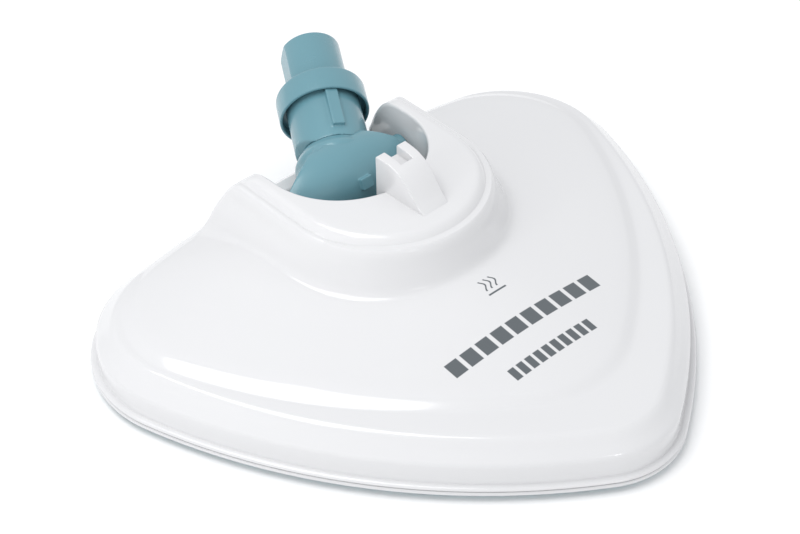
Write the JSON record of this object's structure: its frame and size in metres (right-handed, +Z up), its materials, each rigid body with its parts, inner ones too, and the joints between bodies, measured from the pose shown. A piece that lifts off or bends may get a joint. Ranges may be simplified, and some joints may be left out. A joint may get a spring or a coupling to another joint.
{
  "type": "steam mop head",
  "caption": "Rounded triangular steam floor head with a tilting and swivelling joint and a round neck that a mop handle pushes onto.",
  "frame": {"origin": "on the floor plane at the sole's underside, in line with the joint and ahead of it", "axes": "+X to the right, +Y to the back of the head, +Z up; the nose of the triangle points to -Y"},
  "size_m": [0.32, 0.3037, 0.086],
  "materials": {
    "cover_white": "high gloss, white ABS",
    "sole_teal": "satin gloss",
    "joint_teal": "gloss",
    "inner_grey": "matte",
    "cradle_black": "matte",
    "bush_grey": "matte, acetal",
    "seal_silicone": "matte silicone",
    "screw_steel": "zinc plated",
    "spring_steel": "bright",
    "pin_steel": "ground stainless",
    "hook_tape": "hook tape"
  },
  "bodies": {
    "head": {"top_cover": "cover_white", "base_housing": "cover_white", "sole_plate": "sole_teal", "manifold_gasket": "seal_silicone", "steam_manifold": "inner_grey", "steam_hose": "seal_silicone", "hose_clamps": "spring_steel", "steam_elbow": "inner_grey", "trunnion_seal": "seal_silicone", "joint_cradle": "cradle_black", "pivot_bush_left": "bush_grey", "pivot_bush_right": "bush_grey", "cover_screws": "screw_steel", "sole_screws": "screw_steel", "cradle_screws": "screw_steel", "hook_strip_left": "hook_tape", "hook_strip_right": "hook_tape", "hook_strip_rear": "hook_tape"},
    "knuckle": {"knuckle_front_shell": "joint_teal", "knuckle_rear_shell": "joint_teal", "knuckle_screws": "screw_steel", "swivel_pin": "pin_steel", "pin_cap": "joint_teal", "trunnion_left": "pin_steel", "trunnion_right": "pin_steel"},
    "neck": {"neck_tube": "joint_teal", "collar_ring": "joint_teal", "connector_stub": "joint_teal", "riser_tube": "inner_grey", "riser_seal": "seal_silicone"}
  },
  "joints": [
    {"name": "neck_tilt", "type": "hinge", "parent": "head", "child": "knuckle", "pos_m": [0, 0.0584, 0.0452], "axis": [1, 0, 0], "range_deg": [0, 90]},
    {"name": "neck_swivel", "type": "hinge", "parent": "knuckle", "child": "neck", "pos_m": [0, 0.0584, 0.0452], "axis": [0, -0.2857, 0.9583], "range_deg": [0, 58.2]}
  ]
}
